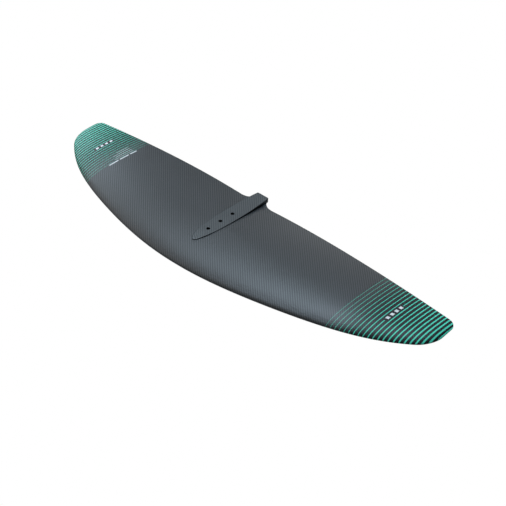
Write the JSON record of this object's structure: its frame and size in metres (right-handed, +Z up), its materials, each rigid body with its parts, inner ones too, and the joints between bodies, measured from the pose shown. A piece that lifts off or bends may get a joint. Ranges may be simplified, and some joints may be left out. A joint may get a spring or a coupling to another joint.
{
  "type": "hydrofoil front wing",
  "caption": "Full-span carbon hydrofoil front wing with drooped tapered tips, green tip pinstripes and a flat raised root pad with a line of countersunk through holes.",
  "frame": {"origin": "middle bolt hole, on the flat top face of the mounting pad", "axes": "+X to the port tip, +Y aft along the pad, +Z up, square to the pad's top face"},
  "size_m": [0.965, 0.2581, 0.0562],
  "materials": {
    "carbon": "2x2 twill carbon laminate under a satin clear coat",
    "tip_green": "sea-green pinstripes under the same clear coat",
    "sleeve": "turned aluminium, black hard anodised",
    "spar": "unidirectional carbon laminate, as moulded",
    "filler": "glass-filled epoxy, as moulded",
    "foam": "closed-cell structural foam, milled"
  },
  "bodies": {
    "root": {"upper_skin": "carbon", "lower_skin": "carbon", "mounting_pad": "carbon", "pad_filler": "filler", "root_block": "filler", "bolt_sleeves": "sleeve", "upper_spar_cap": "spar", "lower_spar_cap": "spar", "shear_web_left": "spar", "shear_web_right": "spar", "nose_core_left": "foam", "nose_core_right": "foam", "tail_core_left": "foam", "tail_core_right": "foam", "leading_edge_strip_left": "filler", "leading_edge_strip_right": "filler", "trailing_edge_strip_left": "filler", "trailing_edge_strip_right": "filler", "tip_plug_left": "filler", "tip_plug_right": "filler"}
  },
  "joints": []
}
